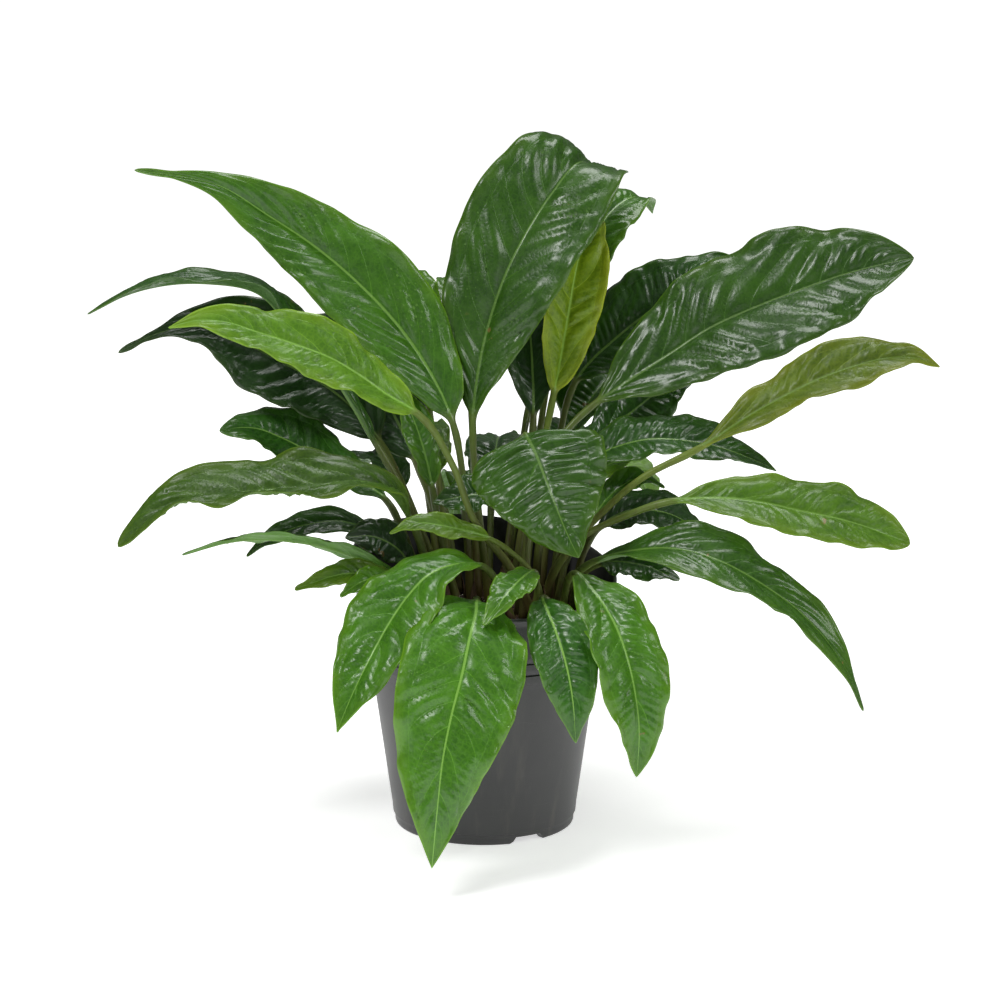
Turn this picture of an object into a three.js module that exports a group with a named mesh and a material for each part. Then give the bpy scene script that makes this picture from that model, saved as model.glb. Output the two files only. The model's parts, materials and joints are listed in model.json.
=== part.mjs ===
// Foliage anthurium in a dark grey nursery pot.
// Millimetres, Z up. The origin is the centre of the pot's underside, on the floor.
// X runs to the plant's right, Y away from the front.
import * as THREE from 'three';

// ---------- driving dimensions ----------
const FIT = 0.35;            // clear gap left between neighbouring pieces
const FOOT_R = 80;           // foot ring, outer radius
const FOOT_H = 9;            // foot ring, height
const BODY_DRAFT = 0.14;     // body radius gained per mm of height
const COLLAR_Z = 150;        // underside of the thick collar
const COLLAR_R = 106.7;      // collar radius at its underside
const COLLAR_DRAFT = 0.12;   // collar radius gained per mm of height
const RIM_Z = 233;           // rim height, averaged round the pot
const RIM_DIP = 22;          // the soft rim is pulled down at the front by this much
const RIM_HIGH_AT = 120;     // bearing at which the rim is highest, degrees
const WALL = 2.2;            // wall thickness
const PAD_R = 52;            // flat centre of the underside that stands on the floor
const SOIL_Z = 190;          // top of the potting mix
const SEGMENTS = 48;         // facets round the pot

const BLADE_T = 1.3;         // leaf blade thickness
const STALK_R = 3.0;         // leaf stalk radius under the blade
const STALK_FOOT_R = 4.2;    // leaf stalk radius at the soil
const FOOT_ROUND = 2.5;      // height of the rounded end of the stalk on the mix

const rad = (deg) => (deg * Math.PI) / 180;
const bodyR = (z) => FOOT_R + BODY_DRAFT * z;
const collarR = (z) => COLLAR_R + COLLAR_DRAFT * (z - COLLAR_Z);

// ---------- materials ----------
function finish(colour, roughness) {
  return new THREE.MeshStandardMaterial({ color: colour, roughness, metalness: 0 });
}
const PLASTIC = finish(0x3e3e3f, 0.55);
const MIX = finish(0x2c2019, 0.95);
const GREEN = {
  mid: finish(0x2f6b22, 0.42),
  dark: finish(0x1c4a1a, 0.4),
  deep: finish(0x143616, 0.45),
  light: finish(0x4f8f26, 0.42),
  bright: finish(0x7fae2c, 0.42),
};

// ---------- helpers ----------
const group = new THREE.Group();

function add(name, geometry, material) {
  const mesh = new THREE.Mesh(geometry, material);
  mesh.name = name;
  group.add(mesh);
}

// A closed body of revolution: the profile starts and ends on the axis.
function lathe(profile, reshape) {
  const positions = [];
  const faces = [];
  const rows = [];
  profile.forEach(([r, z]) => {
    const row = [];
    const count = r === 0 ? 1 : SEGMENTS;
    for (let k = 0; k < count; k += 1) {
      const turn = (k / SEGMENTS) * 2 * Math.PI;
      const [rr, zz] = reshape ? reshape(r, z, turn) : [r, z];
      row.push(positions.length / 3);
      positions.push(rr * Math.cos(turn), rr * Math.sin(turn), zz);
    }
    rows.push(row);
  });
  for (let i = 0; i + 1 < rows.length; i += 1) {
    const a = rows[i];
    const b = rows[i + 1];
    for (let k = 0; k < SEGMENTS; k += 1) {
      const n = (k + 1) % SEGMENTS;
      if (a.length > 1 && b.length > 1) {
        faces.push(a[k], a[n], b[n], a[k], b[n], b[k]);
      } else if (a.length > 1) {
        faces.push(a[k], a[n], b[0]);
      } else if (b.length > 1) {
        faces.push(a[0], b[n], b[k]);
      }
    }
  }
  const geometry = new THREE.BufferGeometry();
  geometry.setAttribute('position', new THREE.Float32BufferAttribute(positions, 3));
  geometry.setIndex(faces);
  return geometry;
}

// ---------- pot ----------
// The collar is soft: everything above its underside is stretched up or down
// so that the rim follows a leaning plane.
function leanCollar(r, z, turn) {
  if (z <= COLLAR_Z + 0.5) return [r, z];
  const rim = RIM_Z + RIM_DIP * Math.cos(turn - rad(RIM_HIGH_AT));
  const lifted = COLLAR_Z + ((z - COLLAR_Z) * (rim - COLLAR_Z)) / (RIM_Z - COLLAR_Z);
  return [r + COLLAR_DRAFT * (lifted - z), lifted];
}

const innerFloorR = bodyR(FOOT_H) - WALL;
const potProfile = [
  [0, 0],
  [PAD_R, 0],
  [PAD_R + 2, 6],
  [70, 6],
  [72.5, 0],
  [FOOT_R - 0.6, 0],
  [FOOT_R, 1],
  [FOOT_R, FOOT_H],
  [bodyR(FOOT_H) + 0.7, FOOT_H + 0.4],
  [bodyR(60), 60],
  [bodyR(COLLAR_Z), COLLAR_Z],
  [COLLAR_R - 0.5, COLLAR_Z + 0.5],
  [COLLAR_R + 0.4, COLLAR_Z + 3],
  [collarR(162), 162],
  [collarR(163) - 0.9, 163],
  [collarR(164), 164],
  [collarR(177), 177],
  [collarR(178) - 0.9, 178],
  [collarR(179), 179],
  [collarR(RIM_Z - 5), RIM_Z - 5],
  [collarR(RIM_Z) + 0.8, RIM_Z - 2.5],
  [collarR(RIM_Z) - 0.6, RIM_Z],
  [collarR(RIM_Z) - WALL - 0.2, RIM_Z - 1],
  [collarR(COLLAR_Z + 8) - WALL, COLLAR_Z + 8],
  [bodyR(COLLAR_Z) - WALL, COLLAR_Z - 2],
  [innerFloorR, FOOT_H - 0.5],
  [PAD_R - 0.5, FOOT_H - 0.5],
  [PAD_R - 3, WALL],
  [0, WALL],
];
add('pot', lathe(potProfile, leanCollar), PLASTIC);

// ---------- potting mix ----------
const soilProfile = [
  [0, FOOT_H],
  [innerFloorR - FIT, FOOT_H],
  [bodyR(COLLAR_Z) - WALL - 1, COLLAR_Z - 2],
  [collarR(COLLAR_Z + 8) - WALL - 1.5, COLLAR_Z + 10],
  [collarR(SOIL_Z - 5) - WALL - 2.5, SOIL_Z - 5],
  [88, SOIL_Z],
  [0, SOIL_Z],
];
add('potting_mix', lathe(soilProfile), MIX);

// ---------- leaves ----------
// A leaf is one closed skin: a round stalk that flattens into a blade.
// Each station along the leaf is a ring of eight points:
// left edge, left upper, upper midrib, right upper, right edge, right lower, keel, left lower.
const BLADE_STATIONS = [0, 0.05, 0.14, 0.26, 0.39, 0.53, 0.67, 0.8, 0.9, 0.965, 1];
const vec = (p) => new THREE.Vector3(p[0], p[1], p[2]);

// Share of the full width at station u. A small base power gives a rounded base,
// a large one a wedge; a small tip power gives a blunt tip, a large one a drawn-out point.
function outline(u, full, basePower, tipPower) {
  if (u <= full) {
    const k = (full - u) / full;
    return Math.max(0, 1 - k * k) ** basePower;
  }
  const k = (u - full) / (1 - full);
  return Math.cos((k * Math.PI) / 2) ** tipPower;
}

// Direction across the blade: square to the run of the leaf and to the way it faces.
function acrossFrom(face, along) {
  return vec(face).normalize().cross(along).normalize();
}

function leaf(name, colour, spec) {
  const {
    foot, stalk = [], rib, wide, face, tipFace = null, full = 0.42, fold = 10, tipFold = fold,
    wave = 2.5, ripple = 2.5, wedge = 0.75, sharp = 1, stem = STALK_R,
  } = spec;
  const ground = [foot[0], foot[1], SOIL_Z + FIT];
  const lower = [ground, ...stalk];
  const path = new THREE.CatmullRomCurve3([...lower, ...rib].map(vec), false, 'centripetal');
  path.arcLengthDivisions = 400;
  const lengths = path.getLengths(400);
  const total = lengths[400];
  const spans = lower.length + rib.length - 1;
  const kneeShare = lengths[Math.round((lower.length / spans) * 400)] / total;

  const stations = [];
  const stalkCount = 4;
  for (let i = 0; i < stalkCount; i += 1) {
    const s = i / stalkCount;
    stations.push({ at: kneeShare * s, stalk: s, u: -1 });
  }
  BLADE_STATIONS.forEach((u) => stations.push({ at: kneeShare + (1 - kneeShare) * u, stalk: 1, u }));

  const fullAt = kneeShare + (1 - kneeShare) * full;
  const acrossMid = acrossFrom(face, path.getTangentAt(fullAt));
  const acrossTip = tipFace ? acrossFrom(tipFace, path.getTangentAt(0.98)) : acrossMid;

  const positions = [];
  const put = (p) => positions.push(p.x, p.y, p.z);
  put(path.getPointAt(0));
  const rings = stations.slice(0, -1);
  rings.forEach((station, index) => {
    const centre = path.getPointAt(Math.max(station.at, FOOT_ROUND / total));
    const along = path.getTangentAt(station.at);
    if (index === 0) along.set(0, 0, 1);
    const turn = THREE.MathUtils.clamp((station.at - fullAt) / (1 - fullAt), 0, 1);
    const across = acrossMid.clone().lerp(acrossTip, turn);
    across.addScaledVector(along, -across.dot(along)).normalize();
    const up = along.clone().cross(across).normalize();
    const point = (side, lift) => put(
      centre.clone().addScaledVector(across, side).addScaledVector(up, lift),
    );
    if (station.u <= 0) {
      const r = STALK_FOOT_R + (stem - STALK_FOOT_R) * Math.min(1, station.stalk * 2);
      for (let k = 0; k < 8; k += 1) {
        const angle = Math.PI - (k * Math.PI) / 4;
        point(r * Math.cos(angle), r * Math.sin(angle));
      }
      return;
    }
    const half = Math.max((wide / 2) * outline(station.u, full, wedge, sharp), stem * 1.1);
    const tilt = rad(fold + (tipFold - fold) * station.u);
    const body = BLADE_T / 2;
    const keel = body + (stem - body) * (1 - station.u) ** 2 * 0.8 + 0.3;
    const phase = station.u * wave * 2 * Math.PI;
    const ruffle = Math.min(ripple, half * 0.2);
    const left = ruffle * Math.sin(phase + 0.6);
    const right = ruffle * Math.sin(phase * 1.13 + 3.4);
    const c = Math.cos(tilt);
    const s = Math.sin(tilt);
    point(-half * c, half * s + left);
    point(-half * 0.52 * c, half * 0.52 * s + body + half * 0.04);
    point(0, body);
    point(half * 0.52 * c, half * 0.52 * s + body + half * 0.04);
    point(half * c, half * s + right);
    point(half * 0.52 * c, half * 0.52 * s - body + half * 0.04);
    point(0, -keel);
    point(-half * 0.52 * c, half * 0.52 * s - body + half * 0.04);
  });
  put(path.getPointAt(1));

  const last = rings.length;
  const id = (ring, k) => 1 + ring * 8 + ((k + 8) % 8);
  const faces = [];
  for (let k = 0; k < 8; k += 1) {
    faces.push(0, id(0, k), id(0, k + 1));
    faces.push(id(last - 1, k + 1), id(last - 1, k), 1 + last * 8);
  }
  // The diagonals run towards the upper midrib, so both halves of a blade mirror each other.
  for (let i = 0; i + 1 < last; i += 1) {
    for (let k = 0; k < 8; k += 1) {
      const a = id(i, k);
      const b = id(i, k + 1);
      const c = id(i + 1, k);
      const d = id(i + 1, k + 1);
      const climbing = k === 0 || k === 1 || k >= 6;
      if (climbing) {
        faces.push(a, c, d, a, d, b);
      } else {
        faces.push(a, c, b, b, c, d);
      }
    }
  }
  const geometry = new THREE.BufferGeometry();
  geometry.setAttribute('position', new THREE.Float32BufferAttribute(positions, 3));
  geometry.setIndex(faces);
  add(name, geometry, GREEN[colour]);
}

// ---------- leaves at the top ----------
leaf('leaf_tall', 'mid', {
  foot: [5, 15],
  stalk: [[-5, 18, 280]],
  rib: [[-10, 25, 355], [0, 45, 425], [22, 60, 490], [54, 80, 544], [86, 112, 578], [108, 165, 558]],
  wide: 118, full: 0.56, face: [-0.1, -0.9, 0.45], fold: 12, ripple: 5, wedge: 1.1, sharp: 0.55,
});
leaf('leaf_upper_left', 'mid', {
  foot: [-12, 12],
  stalk: [[-16, 14, 270]],
  rib: [[-27, 18, 355], [-65, 33, 427], [-128, 45, 493], [-180, 48, 530], [-235, 45, 564], [-305, 40, 577]],
  wide: 92, full: 0.38, face: [-0.1, -0.75, 0.65], fold: 14, wave: 3.3, ripple: 7, wedge: 0.8, sharp: 1.7,
});
leaf('leaf_far_left', 'dark', {
  foot: [-36, -12],
  stalk: [[-48, -14, 230], [-69, -8, 296]],
  rib: [[-92, -3, 338], [-130, 0, 403], [-163, 5, 440], [-188, 8, 470], [-215, 8, 480], [-258, 0, 484], [-302, -8, 477], [-342, -15, 458]],
  wide: 56, full: 0.55, face: [0.1, -0.05, 1], fold: 16, wave: 3, ripple: 3, sharp: 0.9,
});
leaf('leaf_left_pale', 'light', {
  foot: [46, -40],
  stalk: [[27, -45, 234], [-15, -62, 298], [-34, -72, 358]],
  rib: [[-55, -78, 382], [-80, -84, 399], [-123, -92, 430], [-182, -102, 454], [-227, -108, 467], [-261, -112, 461]],
  wide: 62, full: 0.42, face: [-0.05, -0.65, 0.75], fold: 12, wave: 2.5, ripple: 4,
});
leaf('leaf_left_dark', 'deep', {
  foot: [-30, 16],
  stalk: [[-58, 32, 262]],
  rib: [[-92, 42, 334], [-131, 46, 378], [-187, 42, 411], [-244, 28, 441], [-284, 14, 437], [-318, 0, 422]],
  wide: 98, full: 0.44, face: [-0.2, -0.7, 0.7], fold: 12, wave: 2, ripple: 5, wedge: 0.8, sharp: 2.4,
});
leaf('leaf_left_back', 'deep', {
  foot: [-26, 34],
  stalk: [[-45, 50, 270]],
  rib: [[-62, 58, 315], [-84, 70, 360], [-110, 84, 400], [-143, 93, 425], [-180, 98, 440]],
  wide: 78, full: 0.45, face: [0.1, -0.85, 0.55], fold: 8, wave: 3, ripple: 6,
});
leaf('leaf_left_inner', 'mid', {
  foot: [-22, 0],
  stalk: [[-38, 8, 255]],
  rib: [[-46, 12, 300], [-54, 16, 335], [-68, 22, 372], [-84, 24, 396]],
  wide: 33, face: [0.4, -0.75, 0.5], fold: 14, wave: 2, ripple: 3,
});
leaf('leaf_left_mid', 'dark', {
  foot: [-48, 6],
  stalk: [[-66, 10, 245]],
  rib: [[-86, 12, 288], [-112, 16, 306], [-152, 18, 330], [-203, 10, 354], [-232, 5, 352]],
  wide: 60, full: 0.55, face: [-0.1, -0.6, 0.8], fold: 12, wave: 2, ripple: 4, wedge: 1, sharp: 0.7,
});
leaf('leaf_left_arch', 'light', {
  foot: [-40, -30],
  stalk: [[-50, -33, 240]],
  rib: [[-62, -37, 279], [-77, -50, 308], [-98, -66, 321], [-139, -80, 321], [-203, -95, 318], [-262, -105, 310],
    [-308, -110, 274]],
  wide: 76, full: 0.5, face: [-0.1, -0.35, 1], fold: 20, wave: 3, ripple: 6, sharp: 0.6,
});

// ---------- leaves low on the left ----------
leaf('leaf_low_left_long', 'mid', {
  foot: [-52, -38],
  stalk: [[-62, -42, 218]],
  rib: [[-75, -46, 236], [-102, -60, 252], [-148, -75, 270], [-207, -90, 276], [-256, -95, 264]],
  wide: 34, full: 0.5, face: [0, 0.45, 0.9], fold: 6, ripple: 2,
});
leaf('leaf_low_left_arch', 'dark', {
  foot: [-58, -8],
  stalk: [[-66, -8, 225]],
  rib: [[-76, -8, 246], [-95, -12, 262], [-122, -20, 276], [-160, -30, 274], [-187, -38, 264], [-206, -42, 250]],
  wide: 34, full: 0.5, face: [-0.1, -0.5, 0.85], fold: 10, ripple: 2,
});
leaf('leaf_low_left_short', 'light', {
  foot: [-48, -54],
  stalk: [[-60, -58, 215]],
  rib: [[-72, -62, 230], [-90, -76, 240], [-118, -90, 246], [-160, -105, 236]],
  wide: 30, face: [0, -0.6, 0.8], fold: 12, ripple: 1.5,
});
leaf('leaf_low_left_dark', 'deep', {
  foot: [-52, -24],
  rib: [[-62, -24, 232], [-76, -28, 254], [-96, -34, 266], [-120, -46, 268]],
  wide: 40, full: 0.55, face: [-0.1, -0.7, 0.7], fold: 8, ripple: 3,
});
leaf('leaf_low_left_tiny', 'mid', {
  foot: [-36, -66],
  stalk: [[-55, -74, 222]],
  rib: [[-68, -78, 234], [-84, -86, 242], [-102, -100, 242], [-121, -114, 232]],
  wide: 26, face: [-0.1, -0.6, 0.8], fold: 10, ripple: 1.5, stem: 2.2,
});

// ---------- leaves over the front rim ----------
leaf('leaf_front_left', 'mid', {
  foot: [26, -62],
  stalk: [[16, -68, 225]],
  rib: [[0, -80, 250], [-20, -94, 256], [-47, -112, 250], [-72, -138, 226], [-92, -165, 196], [-109, -180, 163],
    [-121, -186, 134]],
  wide: 76, full: 0.5, face: [-0.45, -0.85, 0.35], fold: 10, wave: 2.5, ripple: 4,
});
leaf('leaf_front_centre', 'mid', {
  foot: [2, -66],
  stalk: [[-5, -84, 220]],
  rib: [[-6, -104, 226], [-6, -138, 225], [-12, -176, 208], [-20, -198, 174], [-30, -212, 138], [-36, -222, 92],
    [-42, -226, 30]],
  wide: 104, full: 0.38, face: [0.05, -0.95, 0.2], fold: -4, wave: 2.5, ripple: 6, wedge: 0.6,
});
leaf('leaf_front_small', 'mid', {
  foot: [42, -60],
  stalk: [[46, -72, 232]],
  rib: [[42, -98, 250], [26, -132, 246], [10, -156, 232], [0, -164, 220]],
  wide: 34, face: [-0.1, -0.6, 0.8], fold: 10, ripple: 2.5, stem: 2.4,
});
leaf('leaf_front_mid', 'dark', {
  foot: [58, -62],
  stalk: [[57, -88, 218]],
  rib: [[50, -112, 230], [58, -140, 216], [68, -158, 189], [74, -168, 160], [77, -172, 121]],
  wide: 54, full: 0.45, face: [0.1, -0.95, 0.3], fold: 10, wave: 2, ripple: 4,
});
leaf('leaf_front_right', 'mid', {
  foot: [68, -46],
  stalk: [[72, -62, 232]],
  rib: [[79, -80, 244], [92, -104, 236], [107, -130, 219], [118, -148, 196], [126, -160, 164], [130, -166, 130],
    [128, -168, 90]],
  wide: 66, full: 0.5, face: [0.35, -0.85, 0.35], fold: 10, wave: 2.5, ripple: 5, sharp: 0.85,
});

// ---------- leaves on the right ----------
leaf('leaf_right_droop', 'mid', {
  foot: [66, -30],
  stalk: [[76, -40, 228]],
  rib: [[94, -54, 248], [135, -75, 264], [178, -95, 267], [222, -110, 250], [264, -120, 223], [302, -130, 179],
    [321, -133, 137]],
  wide: 64, full: 0.42, face: [0.2, -0.5, 0.85], fold: 10, wave: 2, ripple: 5, sharp: 1.3,
});
leaf('leaf_right_low', 'dark', {
  foot: [74, -15],
  stalk: [[86, -18, 228]],
  rib: [[102, -24, 240], [135, -42, 243], [169, -58, 233]],
  wide: 42, face: [0.1, -0.55, 0.8], fold: 8, ripple: 3,
});
leaf('leaf_right_low_back', 'deep', {
  foot: [78, 3],
  stalk: [[85, 1, 235]],
  rib: [[98, -4, 264], [126, -12, 284], [160, -22, 284], [196, -32, 266]],
  wide: 47, face: [0.1, -0.6, 0.8], fold: 10, ripple: 4,
});
leaf('leaf_right_pale', 'light', {
  foot: [50, -28],
  stalk: [[60, -34, 232], [84, -45, 267], [115, -55, 286]],
  rib: [[160, -65, 304], [219, -75, 308], [265, -80, 300], [312, -82, 290], [364, -80, 270]],
  wide: 62, full: 0.6, face: [0.1, -0.7, 0.7], fold: 10, wave: 3.6, ripple: 4, wedge: 1, sharp: 0.6,
});
leaf('leaf_right_pale_high', 'bright', {
  foot: [52, -12],
  stalk: [[58, -16, 228], [80, -20, 258], [116, -22, 298], [150, -22, 324]],
  rib: [[184, -20, 340], [243, -12, 376], [304, -8, 406], [364, -8, 420], [396, -8, 411]],
  wide: 58, full: 0.6, face: [-0.1, -0.6, 0.8], fold: 13, wave: 2.5, ripple: 4, wedge: 1.1, sharp: 0.9,
});
leaf('leaf_right_big', 'mid', {
  foot: [44, 22],
  stalk: [[54, 26, 286], [72, 40, 348]],
  rib: [[98, 50, 368], [161, 60, 409], [202, 65, 435], [278, 70, 467], [334, 70, 486], [381, 65, 497]],
  wide: 121, full: 0.6, face: [-0.15, -0.8, 0.6], fold: 10, wave: 3.5, ripple: 7, wedge: 0.9, sharp: 0.75,
});
leaf('leaf_right_behind', 'dark', {
  foot: [50, 50],
  stalk: [[64, 80, 310]],
  rib: [[82, 104, 378], [121, 120, 418], [169, 130, 452], [214, 135, 480], [238, 138, 484]],
  wide: 84, full: 0.5, face: [-0.1, -0.8, 0.6], fold: 6, wave: 2.5, ripple: 6,
});
leaf('leaf_bright_upright', 'bright', {
  foot: [34, 42],
  stalk: [[48, 58, 300]],
  rib: [[62, 74, 372], [74, 90, 434], [84, 106, 488], [96, 135, 520], [104, 165, 508]],
  wide: 60, full: 0.5, face: [0.25, -0.95, 0.2], fold: 22, wave: 2, ripple: 4,
});
leaf('leaf_back_tip', 'mid', {
  foot: [30, 57],
  stalk: [[50, 104, 330]],
  rib: [[68, 134, 428], [96, 158, 496], [119, 184, 527], [143, 208, 536], [158, 232, 518]],
  wide: 60, full: 0.55, face: [-0.2, -0.75, 0.6], fold: 10, ripple: 4,
});
leaf('leaf_centre_dark', 'deep', {
  foot: [24, 30],
  stalk: [[38, 54, 290]],
  rib: [[44, 72, 352], [43, 96, 400], [41, 116, 438], [46, 134, 477], [52, 148, 502]],
  wide: 56, full: 0.47, face: [0, -0.9, 0.4], fold: 12, ripple: 5.5, wedge: 0.9,
});
leaf('leaf_right_under', 'dark', {
  foot: [62, 38],
  stalk: [[78, 58, 280]],
  rib: [[96, 72, 326], [130, 86, 352], [162, 95, 374], [192, 100, 384]],
  wide: 60, full: 0.55, face: [0, -0.75, 0.65], fold: 8, ripple: 3,
});
leaf('leaf_right_grey', 'dark', {
  foot: [60, 6],
  stalk: [[68, 14, 270]],
  rib: [[80, 16, 314], [102, 18, 329], [143, 18, 342], [189, 14, 340], [224, 8, 331], [257, 2, 317]],
  wide: 64, full: 0.45, face: [0, -0.45, 0.9], fold: 10, ripple: 4,
});
leaf('leaf_right_small', 'mid', {
  foot: [64, -8],
  stalk: [[72, 4, 232]],
  rib: [[96, 18, 270], [116, 20, 295], [137, 22, 306], [160, 20, 298]],
  wide: 30, face: [0.1, -0.5, 0.85], fold: 16, ripple: 3, stem: 2.4,
});

// ---------- leaves in the middle ----------
leaf('leaf_centre_front', 'mid', {
  foot: [30, -18],
  stalk: [[40, -18, 300], [38, -28, 345]],
  rib: [[36, -46, 358], [44, -72, 348], [57, -98, 318], [69, -115, 290], [80, -124, 268]],
  wide: 118, full: 0.22, face: [-0.1, -0.8, 0.6], fold: -6, wave: 2, ripple: 5, sharp: 0.9,
});
leaf('leaf_centre_small', 'dark', {
  foot: [34, -32],
  stalk: [[38, -30, 262], [33, -27, 292]],
  rib: [[14, -28, 302], [-12, -30, 302], [-44, -34, 296]],
  wide: 42, face: [0, -0.6, 0.8], fold: 8, ripple: 4, stem: 2.4,
});
leaf('leaf_centre_low', 'light', {
  foot: [52, -48],
  stalk: [[46, -58, 232], [28, -67, 256]],
  rib: [[6, -70, 272], [-29, -74, 283], [-58, -80, 288], [-80, -84, 280]],
  wide: 26, face: [0, -0.6, 0.8], fold: 8, ripple: 2, stem: 2.2,
});

// ---------- leaves behind ----------
// bearing: degrees round the pot; root: where it leaves the mix; reach and drop: where its tip ends.
function backLeaf(name, colour, bearing, root, rise, reach, tipZ, wide) {
  const out = [Math.cos(rad(bearing)), Math.sin(rad(bearing))];
  const at = (r, z) => [Math.round(out[0] * r), Math.round(out[1] * r), z];
  const crest = Math.max(rise + 40, tipZ + 12);
  leaf(name, colour, {
    foot: at(root, 0),
    stalk: [at(root + (reach - root) * 0.16, SOIL_Z + (rise - SOIL_Z) * 0.55)],
    rib: [
      at(root + (reach - root) * 0.32, rise),
      at(root + (reach - root) * 0.55, (rise + crest * 2) / 3),
      at(root + (reach - root) * 0.8, (crest * 2 + tipZ) / 3),
      at(reach, tipZ),
    ],
    wide,
    full: 0.45,
    face: [out[0] * 0.5, out[1] * 0.5, 1],
    fold: 12,
    wave: 2.5,
    ripple: 5,
  });
}
backLeaf('leaf_behind_01', 'mid', 119, 62, 394, 227, 474, 62);
backLeaf('leaf_behind_02', 'dark', 87, 54, 266, 270, 296, 59);
backLeaf('leaf_behind_03', 'mid', 66, 74, 285, 280, 290, 74);
backLeaf('leaf_behind_04', 'light', 110, 68, 290, 250, 274, 56);
backLeaf('leaf_behind_05', 'mid', 54, 74, 330, 270, 375, 84);
backLeaf('leaf_behind_06', 'dark', 72, 52, 355, 300, 412, 76);
backLeaf('leaf_behind_07', 'mid', 98, 46, 409, 230, 452, 49);
backLeaf('leaf_behind_08', 'dark', 130, 72, 280, 210, 262, 54);
backLeaf('leaf_behind_09', 'light', 47, 82, 272, 235, 248, 53);
backLeaf('leaf_behind_10', 'dark', 75, 70, 266, 240, 200, 46);
backLeaf('leaf_behind_11', 'mid', 100, 72, 261, 188, 204, 34);
backLeaf('leaf_behind_12', 'dark', 118, 84, 322, 226, 352, 58);

export default group;
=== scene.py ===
"""Potted foliage anthurium: nursery pot, potting mix, arching leaves, dry sheaths and a studio floor."""

import json
import math

import bmesh
import bpy
import numpy as np
from bpy.props import FloatProperty, FloatVectorProperty, IntProperty, PointerProperty
from bpy.types import Operator, Panel, PropertyGroup
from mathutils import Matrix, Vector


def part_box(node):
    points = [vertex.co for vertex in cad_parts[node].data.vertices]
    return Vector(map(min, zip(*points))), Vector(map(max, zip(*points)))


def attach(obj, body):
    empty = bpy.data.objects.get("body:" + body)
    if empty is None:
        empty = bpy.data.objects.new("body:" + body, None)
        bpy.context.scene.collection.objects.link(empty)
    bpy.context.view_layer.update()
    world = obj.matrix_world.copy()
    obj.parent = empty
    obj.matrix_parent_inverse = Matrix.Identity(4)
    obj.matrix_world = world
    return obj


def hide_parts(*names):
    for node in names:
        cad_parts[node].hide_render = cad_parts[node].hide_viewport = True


bl_info = {
    "name": "Potted Anthurium",
    "version": (1, 0, 0),
    "blender": (4, 5, 0),
    "location": "View3D > Sidebar > Anthurium",
    "description": "Builds a potted foliage anthurium from its packed solids",
    "category": "Object",
}

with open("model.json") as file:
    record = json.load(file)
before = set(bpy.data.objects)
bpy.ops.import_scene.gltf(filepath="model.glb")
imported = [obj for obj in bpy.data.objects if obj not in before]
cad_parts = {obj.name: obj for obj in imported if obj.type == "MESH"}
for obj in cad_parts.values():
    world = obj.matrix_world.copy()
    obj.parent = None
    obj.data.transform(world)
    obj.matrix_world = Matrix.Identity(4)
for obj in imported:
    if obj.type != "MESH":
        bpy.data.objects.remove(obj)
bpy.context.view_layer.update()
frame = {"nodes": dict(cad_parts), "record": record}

SLOT_OF = {part["node"]: part["material_slot"] for part in frame["record"]["subparts"]}
LEAF_NODES = sorted(node for node in SLOT_OF if node.startswith("leaf_"))
MIX_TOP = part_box("potting_mix")[1].z

STALK_RINGS = 5  # rings of a leaf's solid that make its stalk
RING_POINTS = 8
FOOT_GAP = 0.00035  # a stalk's foot stands this far above the mix
HALF_BLADE = 0.00065  # half the thickness of a solid's blade

# How light each leaf is against the others of its colour.
TONES = {
    "leaf_tall": 0.62, "leaf_upper_left": 1.0, "leaf_right_big": 0.55, "leaf_left_arch": 0.64,
    "leaf_front_centre": 1.40, "leaf_front_left": 1.30, "leaf_front_right": 1.25, "leaf_left_pale": 1.25,
    "leaf_right_pale_high": 0.50, "leaf_right_pale": 0.95, "leaf_centre_front": 0.62, "leaf_left_mid": 1.3,
    "leaf_left_dark": 0.75, "leaf_right_droop": 0.78, "leaf_front_mid": 1.7, "leaf_front_small": 1.15,
    "leaf_low_left_short": 0.70, "leaf_centre_low": 0.85, "leaf_back_tip": 0.95, "leaf_right_behind": 1.0,
}


# ---------------------------------------------------------------- sizes and colours


COLOUR = {"subtype": "COLOR", "size": 3, "min": 0.0, "max": 1.0}


class PotSizes(PropertyGroup):
    foot_radius: FloatProperty(
        name="Foot radius", description="Outer radius of the ring the pot stands on",
        default=0.080, unit="LENGTH",
    )
    foot_height: FloatProperty(
        name="Foot height", description="Height of the step above the floor", default=0.009, unit="LENGTH",
    )
    draft: FloatProperty(
        name="Draft", description="How much the wall's radius grows per unit of height", default=0.14,
    )
    collar_height: FloatProperty(
        name="Collar height", description="Height of the collar's underside", default=0.150, unit="LENGTH",
    )
    collar_radius: FloatProperty(
        name="Collar radius", description="Radius of the collar at its underside",
        default=0.1067, unit="LENGTH",
    )
    collar_draft: FloatProperty(
        name="Collar draft", description="How much the collar's radius grows per unit of height", default=0.12,
    )
    wall: FloatProperty(
        name="Wall", description="Thickness of the moulded wall", default=0.0022, unit="LENGTH",
    )
    groove: FloatProperty(
        name="Groove depth", description="Depth of the two lines round the collar",
        default=0.0011, unit="LENGTH",
    )
    notches: IntProperty(
        name="Notches", description="Drainage notches round the foot ring", default=2, min=0, max=24,
    )
    notch_height: FloatProperty(
        name="Notch height", description="Height of each drainage notch", default=0.006, unit="LENGTH",
    )
    notch_width: FloatProperty(
        name="Notch width", description="Width of each drainage notch along the ring",
        default=0.030, unit="LENGTH",
    )
    plastic: FloatVectorProperty(
        name="Plastic", description="Colour of the moulded plastic",
        default=(0.036, 0.036, 0.037), **COLOUR,
    )
    dust: FloatVectorProperty(
        name="Dust", description="Colour of the dry splashes on the plastic",
        default=(0.085, 0.080, 0.070), **COLOUR,
    )


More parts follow.
